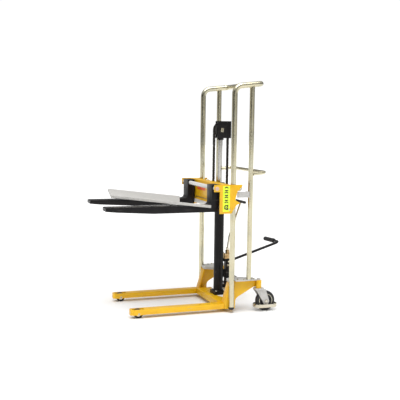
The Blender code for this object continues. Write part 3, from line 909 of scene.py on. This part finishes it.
def add_pulley():
    pin_centre = middle("pulley_pin")
    for k, word in ((-1, "right"), (1, "left")):
        start = pin_centre + X_AXIS * (k * (size("pulley_yoke").x / 2 + 0.0002))
        head = turned(
            "pulley_pin_head_" + word, HARDWARE, start, X_AXIS * k,
            [
                (-0.004, 0), (-0.004, 0.0068), (0, 0.0068), (0, 0.0105), (0.0032, 0.0105),
                (0.004, 0.0096), (0.004, 0),
            ],
            64,
        )
        finish_piece(head, "ram")
        tab = block(
            "pin_lock_plate_" + word, HARDWARE, start + Vector((-0.0004 * k, -0.0095, -0.0125)),
            start + Vector((0.0042 * k, 0.0095, 0.0125)), 0.0006, 2,
        )
        finish_piece(tab, "ram")
    shaft = round_bar(
        "pulley_pin_finished", HARDWARE, pin_centre - X_AXIS * PIN_HALF,
        pin_centre + X_AXIS * PIN_HALF, PIN_R, 0.0005, 48,
    )
    finish_piece(shaft, "ram", "pulley_pin")
    centre = middle("chain_pulley")
    radius = size("chain_pulley").z / 2
    half = size("chain_pulley").x / 2
    wheel = turned(
        "chain_pulley_finished", DARK_STEEL, centre - X_AXIS * half, X_AXIS,
        mirrored(
            2 * half, (0, 0.0074), (0, 0.0125), (0.002, 0.0135), (0.0035, 0.016), (0.0035, 0.027),
            (0.002, 0.03), (0, 0.0315), (0, radius + 0.004), (0.001, radius + 0.005),
            (0.0024, radius),
        ),
        96,
    )
    finish_piece(wheel, "pulley", "chain_pulley")


PITCH = 0.0127
PLATE_GAUGE = 0.0021
PLATE_GAP = 0.0003
PLATE_HEIGHT = 0.0142
WAIST = 0.78
CHAIN_PIN_R = 0.0024
CHAIN_PIN_HALF = 0.0082
LUG_HALF = 0.0075


def link_plate(bm, centre, along, outward, x):
    """One leaf plate: a figure eight between two pins, at one place along X."""
    half = PITCH / 2
    end = PLATE_HEIGHT / 2
    points = []
    for way, start in ((1, -90), (-1, 90)):
        for k in range(9):
            angle = math.radians(start + 180 * k / 8)
            points.append((way * half + end * math.cos(angle) * 0.98, end * math.sin(angle)))
        points.append((0, way * end * WAIST))
    rings = []
    for side in (-1, 1):
        shift = X_AXIS * (x + side * PLATE_GAUGE / 2)
        rings.append([bm.verts.new(centre + shift + along * u + outward * v) for u, v in points])
    count = len(points)
    bm.faces.new(rings[0])
    bm.faces.new(list(reversed(rings[1])))
    for i in range(count):
        k = (i + 1) % count
        bm.faces.new((rings[0][k], rings[0][i], rings[1][i], rings[1][k]))


def add_pin(bm, centre):
    bmesh.ops.create_cone(
        bm, cap_ends=True, segments=12, radius1=CHAIN_PIN_R, radius2=CHAIN_PIN_R,
        depth=2 * CHAIN_PIN_HALF, matrix=Matrix.Translation(centre) @ turn_to(X_AXIS),
    )


def leaf_chain(name, places):
    """A leaf chain through a row of pin places, each with the way outward from the pulley."""
    bm = bmesh.new()
    offsets = ((-2.5, -0.5, 1.5), (-1.5, 0.5, 2.5))
    for i, ((first, out_a), (second, out_b)) in enumerate(zip(places, places[1:])):
        along = (second - first).normalized()
        outward = along.cross(X_AXIS).normalized()
        if outward.dot(out_a + out_b) < 0:
            outward.negate()
        for k in offsets[i % 2]:
            link_plate(bm, (first + second) / 2, along, outward, k * (PLATE_GAUGE + PLATE_GAP))
    for place, _ in places:
        add_pin(bm, place)
    return smooth(new_object(name, bm, CHAIN), 30)


def straight_places(y, low_z, high_z, outward):
    """Pins between two heights, at the nearest whole number of links."""
    count = round((high_z - low_z) / PITCH)
    step = (high_z - low_z) / count
    return [(Vector((0, y, low_z + i * step)), Vector((0, outward, 0))) for i in range(count + 1)]


def add_chains():
    centre = middle("chain_pulley")
    radius = middle("chain_rear").y - centre.y
    count = round(math.pi * radius / PITCH)
    around = []
    for i in range(count + 1):
        angle = math.pi * i / count
        out = Vector((0, math.cos(angle), math.sin(angle)))
        around.append((centre + radius * out, out))
    finish_piece(leaf_chain("chain_crown_links", around), "ram", "chain_crown")
    for name, start_body, outward in (("chain_front", "carriage", -1), ("chain_rear", "frame", 1)):
        y = middle(name).y
        base = low(name).z + 0.004
        top = centre.z
        strand = leaf_chain(name + "_links", straight_places(y, base, top, outward))
        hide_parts(name)
        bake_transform(strand)
    add_anchor_details()


def chain_lug(name, body, y, top, depth):
    """The black block under the last link of a chain."""
    corners = (-LUG_HALF, y - depth, top - 0.001), (LUG_HALF, y + depth, top + 0.008)
    finish_piece(block(name, BLACK, *corners, 0.001), body)


def add_anchor_details():
    """The chain's two anchor bolts: one below the fixed bracket, one on the carriage's top plate."""
    y = middle("chain_rear").y
    base = low("chain_anchor").z
    chain_lug("rear_chain_lug", "frame", y, high("chain_anchor").z, 0.0068)
    foot, head = (0, y, base - 0.017), (0, y, base + 0.002)
    bolt = round_bar("rear_chain_bolt", HARDWARE, foot, head, 0.004, 0.0006, 32)
    finish_piece(bolt, "frame")
    for i in range(2):
        spot = (0, y, base - 0.0008 - 0.0062 * i)
        hexagon(f"rear_chain_nut_{i + 1}", "frame", spot, -Z_AXIS, 0.011, 0.005, i == 0)
    y = middle("chain_front").y
    top = high("carriage_frame").z
    chain_lug("front_chain_lug", "carriage", y, top, 0.0055)
    spot = (0, y, top - 0.0062)
    hexagon("front_chain_nut", "carriage", spot, -Z_AXIS, 0.011, 0.006)


# ---------------------------------------------------------------- carriage and forks


PLATE_FACE_X = 0.3082
END_DISC_R = 0.0125
LABEL_FRONT, LABEL_REAR, LABEL_FOOT, LABEL_TOP = -0.0795, -0.034, 0.634, 0.788
LABEL_DEPTH = 0.0004
INK_DEPTH = 0.0007
MARKS = 7
MARK_PITCH = 0.0148
MARK_THICKNESS = 0.0068
PANEL_DEPTH = 0.0006


def add_carriage():
    for side, s in SIDES:
        refined("side_plate_" + side, "carriage", YELLOW, 0.0008)
        refined("guide_arm_" + side, "carriage", SHEET, 0.0008)
        add_guide_rollers(side)
        add_plate_details(side, s)
    refined("carriage_frame", "carriage", YELLOW, 0.0009)
    refined("fork_bar_lower", "carriage", CHROME_BAR, 0.0012)
    add_carriage_panel()
    bar_low, bar_high = low("fork_bar_upper"), high("fork_bar_upper")
    centre = middle("fork_bar_upper")
    radius = (bar_high.z - bar_low.z) / 2
    bar = round_bar(
        "fork_bar_upper_finished", CHROME_BAR, (bar_low.x, centre.y, centre.z),
        (bar_high.x, centre.y, centre.z), radius, 0.001, 72,
    )
    finish_piece(bar, "carriage", "fork_bar_upper")


def add_guide_rollers(side):
    for place in ("upper", "lower"):
        name = f"guide_roller_{place}_{side}"
        centre = middle(name)
        half, radius = size(name).x / 2, size(name).z / 2
        roller = turned(
            name + "_finished", HARDWARE, centre - X_AXIS * half, X_AXIS,
            mirrored(
                2 * half, (0, 0.0064), (0, 0.0085), (0.001, 0.009), (0.001, 0.0135), (0, 0.014),
                (0, radius - 0.001), (0.001, radius),
            ),
            72,
        )
        finish_piece(roller, name, name)


def add_plate_details(side, s):
    """Nuts of the two roller pins, the fork bar's end disc and a bright label with plain bars."""
    face = s * PLATE_FACE_X
    for place in ("upper", "lower"):
        centre = middle(f"guide_roller_{place}_{side}")
        spot = (face, centre.y, centre.z)
        hexagon(f"roller_nut_{place}_{side}", "carriage", spot, X_AXIS * s, 0.0105, 0.0032, False)
    centre = middle("fork_bar_upper")
    profile = [(0, 0), (0, END_DISC_R), (0.0022, END_DISC_R), (0.003, END_DISC_R - 0.0008), (0.003, 0)]
    disc = turned("fork_bar_end_" + side, COPPER, (face, centre.y, centre.z), X_AXIS * s, profile)
    finish_piece(disc, "carriage")
    add_label(side, s, face)


def add_label(side, s, face):
    """A fluorescent strip: a black block with a bright ring at its foot, chevrons and bars above."""

    def layer(name, material, outline, depth):
        near, far = sorted((face, face + s * depth))
        made = slab(name, material, [(y + MAST_Y, z) for y, z in outline], near, far, 0.0001, 1)
        finish_piece(made, "carriage")

    strip = [(LABEL_FRONT, LABEL_FOOT), (LABEL_REAR, LABEL_FOOT)]
    strip += [(LABEL_REAR, LABEL_TOP), (LABEL_FRONT, LABEL_TOP)]
    layer("label_" + side, LABEL, strip, LABEL_DEPTH)
    centre_y = (LABEL_FRONT + LABEL_REAR) / 2
    foot = LABEL_FOOT + 0.009
    patch = ((-0.013, 0.006), (0.006, 0), (0.013, 0.004), (0.013, 0.031), (-0.006, 0.031), (-0.013, 0.024))
    layer("label_block_" + side, CAP, [(centre_y + y, foot + z) for y, z in patch], INK_DEPTH)
    ring = turned(
        "label_ring_" + side, LABEL, (face, centre_y + MAST_Y, foot + 0.017), X_AXIS * s,
        [(0, 0.0035), (0, 0.0075), (0.0009, 0.0075), (0.0009, 0.0035), (0, 0.0035)], 40,
    )
    finish_piece(ring, "carriage")
    for i in range(MARKS):
        base = foot + 0.041 + MARK_PITCH * i
        half, rise = (0.0105, 0.0) if i % 2 else (0.0115, 0.006)
        lower = [(centre_y - half, base), (centre_y, base + rise), (centre_y + half, base)]
        upper = [(y, z + MARK_THICKNESS) for y, z in reversed(lower)]
        layer(f"label_mark_{side}_{i + 1}", CAP, lower + upper, INK_DEPTH)


def add_carriage_panel():
    """A plain orange-red panel on the front of the cross plate, with a thin brown strip below it."""
    face = low("carriage_frame").y
    for name, material, corner, far_corner in (
        ("carriage_panel", PANEL, (-0.150, 0.733), (0.0, 0.760)),
        ("carriage_strip", BRASS, (-0.17, 0.681), (0.17, 0.688)),
    ):
        near = (corner[0], face - PANEL_DEPTH, corner[1])
        far = (far_corner[0], face, far_corner[1])
        finish_piece(block(name, material, near, far, 0.0002, 1), "carriage")


def add_forks():
    for side, _ in SIDES:
        refined("fork_" + side, "fork_" + side, BLACK, 0.0035, 4)
    refined("platform", "platform", SHEET, 0.0006, 2)


# ---------------------------------------------------------------- pump and levers


PUMP_Y = 0.0795
PLUNGER_Y = 0.1015
HEAD_SCREWS = ((-0.0145, 0.0605), (0.0145, 0.0605), (-0.0145, 0.0985), (0.0145, 0.0985))
SCREW_SINK = 0.0236
PLUG_X, PLUG_Y = 0.018, 0.078
PLUG_HEIGHTS = (0.125, 0.247)
SPRING_LOW = 0.2256
SPRING_R = 0.0088
SPRING_TURNS = 5.5
WIRE_R = 0.0013
PEDAL_Y = 0.449
PEDAL_Z = 0.383
PEDAL_BEND = 0.028
LEVER_BAR_X = -0.075
LEVER_BAR_DROP = 0.0035
LEVER_RISE = 0.0015
CHEEK_X = (0.019, 0.024)
CHEEK_R = 0.011
CHEEK_TAIL = ((0.0, -0.0065), (0.0045, -0.0035), (0.006, 0.0015), (0.0045, 0.0065), (0.0, 0.0095))
GRIP_RUN = Vector((-0.147, 0, -0.0068))
RELEASE_Y = 0.166
RELEASE_GRIP_Z = 0.66
RELEASE_GRIP_LENGTH = 0.15
RELEASE_FOOT = 0.008


def add_pump():
    refined("pump_body", "frame", BLACK, 0.0016)
    refined("pump_head", "frame", BRASS, 0.0014)
    refined("pump_plunger", "plunger", CHROME, 0.0005)
    add_pump_details()
    add_foot_lever()
    add_release_lever()


def add_pump_details():
    """Screws of the brass head, two plugs on each side of the body and the plunger's spring."""
    for i, (x, y) in enumerate(HEAD_SCREWS):
        place = at(x, y, high("pump_head").z - SCREW_SINK)
        hexagon(f"pump_head_screw_{i + 1}", "frame", place, Z_AXIS, 0.006, 0.004)
    for k, word in ((-1, "right"), (1, "left")):
        for i, z in enumerate(PLUG_HEIGHTS):
            place = at(k * PLUG_X, PLUG_Y, z)
            hexagon(f"pump_plug_{word}_{i + 1}", "frame", place, X_AXIS * k, 0.012, 0.006)
    top = low("pump_plunger").z + 0.066
    steps = round(SPRING_TURNS * 24)
    coil = []
    for i in range(steps + 1):
        angle = 2 * math.pi * SPRING_TURNS * i / steps
        height = SPRING_LOW + WIRE_R + (top - SPRING_LOW - 2 * WIRE_R) * i / steps
        coil.append(at(SPRING_R * math.cos(angle), PLUNGER_Y + SPRING_R * math.sin(angle), height))
    spring = pipe("plunger_spring", HARDWARE, coil, WIRE_R, 12)
    finish_piece(spring, "frame")
    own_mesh(spring)


def cross_pin(name, body, material, half, y, z, radius):
    """A round bar across the truck's middle."""
    finish_piece(round_bar(name, material, at(-half, y, z), at(half, y, z), radius), body)


def add_foot_lever():
    pivot = joint_place("foot_pedal_pump").z
    bar_z = PEDAL_Z - LEVER_BAR_DROP
    root = at(0, PLUNGER_Y, pivot + LEVER_RISE)
    path = smooth_path((root, at(0, PEDAL_Y, PEDAL_Z), at(LEVER_BAR_X, PEDAL_Y, bar_z)), PEDAL_BEND)
    finish_piece(pipe("foot_lever_pipe", BLACK, path, 0.0085, 40), "foot_pedal", "foot_lever")
    cheek = []
    for k in range(13):
        angle = math.radians(90 + 15 * k)
        cheek.append((PUMP_Y + MAST_Y + CHEEK_R * math.cos(angle), pivot + CHEEK_R * math.sin(angle)))
    cheek += [(PLUNGER_Y + MAST_Y + y, pivot + z) for y, z in CHEEK_TAIL]
    for k, word in ((-1, "right"), (1, "left")):
        near, far = sorted(k * x for x in CHEEK_X)
        finish_piece(slab("lever_cheek_" + word, BLACK, cheek, near, far, 0.0007, 2), "foot_pedal")
        face = at(k * CHEEK_X[1], PUMP_Y, pivot)
        hexagon("lever_pin_nut_" + word, "foot_pedal", face, X_AXIS * k, 0.011, 0.005)
    cross_pin("lever_cross_bar", "foot_pedal", BLACK, 0.0236, PLUNGER_Y, pivot + LEVER_RISE, 0.0055)
    cross_pin("lever_pin", "foot_pedal", HARDWARE, 0.0238, PUMP_Y, pivot, 0.005)
    start = at(LEVER_BAR_X + 0.002, PEDAL_Y, bar_z)
    profile = ribbed_profile(GRIP_RUN.length, 0.0145, 11, 0.0017)
    grip = turned("pedal_grip_finished", GRIP, start, GRIP_RUN, profile, 48)
    finish_piece(grip, "foot_pedal", "pedal_grip")


def add_release_lever():
    pivot = joint_place("release_lever_tilt").z
    foot_z = pivot + RELEASE_FOOT
    ends = (at(0, PUMP_Y, foot_z), at(0, PUMP_Y + 0.012, pivot + 0.09), at(0, RELEASE_Y, 0.6505))
    rod = pipe("release_lever_rod", HARDWARE, smooth_path(ends, 0.2), 0.0062, 32)
    finish_piece(rod, "release_lever", "release_lever")
    cross_pin("release_lever_foot", "release_lever", HARDWARE, 0.011, PUMP_Y, foot_z, 0.0076)
    profile = ribbed_profile(RELEASE_GRIP_LENGTH, 0.009, 13, 0.0011)
    start = at(-RELEASE_GRIP_LENGTH / 2, RELEASE_Y, RELEASE_GRIP_Z)
    grip = turned("release_grip_finished", GRIP, start, X_AXIS, profile, 40)
    finish_piece(grip, "release_lever", "release_grip")


# ---------------------------------------------------------------- camera, light and floor


def add_camera():
    camera = bpy.data.objects.new("camera", bpy.data.cameras.new("camera"))
    camera.data.lens = CAMERA_LENS
    camera.data.sensor_width = 36
    camera.data.clip_end = 200
    turn = Matrix.Rotation(math.radians(CAMERA_HEADING), 4, "Z")
    turn = turn @ Matrix.Rotation(math.radians(90 + CAMERA_TILT), 4, "X")
    turn = turn @ Matrix.Rotation(math.radians(CAMERA_ROLL), 4, "Z")
    camera.matrix_world = Matrix.Translation(CAMERA_PLACE) @ turn
    bpy.context.scene.collection.objects.link(camera)
    bpy.context.scene.camera = camera


SCREEN_DIRECTION = (0.515, -0.857, 0.0)
SIDE_TONES = [(0.0, 0.34), (0.4, 0.42), (0.7, 0.58), (0.86, 0.66), (0.93, 0.03), (1.0, 0.02)]
HEIGHT_TONES = [(0.0, 0.50), (0.4, 0.55), (0.6, 0.60), (0.8, 0.95), (1.0, 1.0)]
LEVEL_Z, STEEP_Z = 0.25, 0.65
SEEN_WHITE = (1.3, 1.3, 1.3)
WORLD_STRENGTH = 0.8


def add_world():
    """A white room with one dark screen to the side, that the camera sees as plain white."""
    world = bpy.data.worlds.new("studio")
    world.use_nodes = True
    n = Tree(world.node_tree)
    direction = n.new("ShaderNodeTexCoord").outputs["Generated"]
    split = n.new("ShaderNodeSeparateXYZ")
    n.link(direction, split.inputs["Vector"])
    toward = n.new("ShaderNodeVectorMath", operation="DOT_PRODUCT")
    toward.inputs[1].default_value = SCREEN_DIRECTION
    n.link(direction, toward.inputs[0])
    side, height = (
        n.ramp(n.range(source, 0, 1, -1, 1), [(place, (tone, tone, tone)) for place, tone in tones])
        for source, tones in ((toward.outputs["Value"], SIDE_TONES), (split.outputs["Z"], HEIGHT_TONES))
    )
    steep = n.new("ShaderNodeMath", operation="ABSOLUTE")
    n.link(split.outputs["Z"], steep.inputs[0])
    room = n.mix(n.range(steep.outputs["Value"], 0, 1, LEVEL_Z, STEEP_Z), side, height)
    camera_ray = n.new("ShaderNodeLightPath").outputs["Is Camera Ray"]
    background = n.tree.nodes["Background"]
    n.link(n.mix(camera_ray, room, SEEN_WHITE), background.inputs["Color"])
    background.inputs["Strength"].default_value = WORLD_STRENGTH
    bpy.context.scene.world = world


SUN_DIRECTION = Vector((-0.30, 0.16, -0.94))
SUN_ENERGY = 2.9
SUN_ANGLE = 55


def add_sun():
    """A very soft distant light that shines down from the camera's side."""
    data = bpy.data.lights.new("key_light", "SUN")
    data.energy = SUN_ENERGY
    data.angle = math.radians(SUN_ANGLE)
    light = bpy.data.objects.new("key_light", data)
    light.matrix_world = SUN_DIRECTION.to_track_quat("-Z", "Y").to_matrix().to_4x4()
    bpy.context.scene.collection.objects.link(light)


FLOOR_R = 40


def add_floor():
    bm = bmesh.new()
    bmesh.ops.create_circle(bm, cap_ends=True, radius=FLOOR_R, segments=96)
    n = Nodes("pale_floor")
    n.colour(n.ramp(n.noise(0.6, 3), [(0.3, (0.86, 0.86, 0.855)), (0.7, (0.89, 0.89, 0.885))]))
    n.set(Roughness=0.85)
    floor = new_object("floor", bm, n.material)


add_camera()
add_world()
add_sun()
add_floor()
bpy.context.scene.view_settings.view_transform = "Standard"

add_mast()
add_base()
add_casters()
add_lift()
add_carriage()
add_forks()
add_pump()
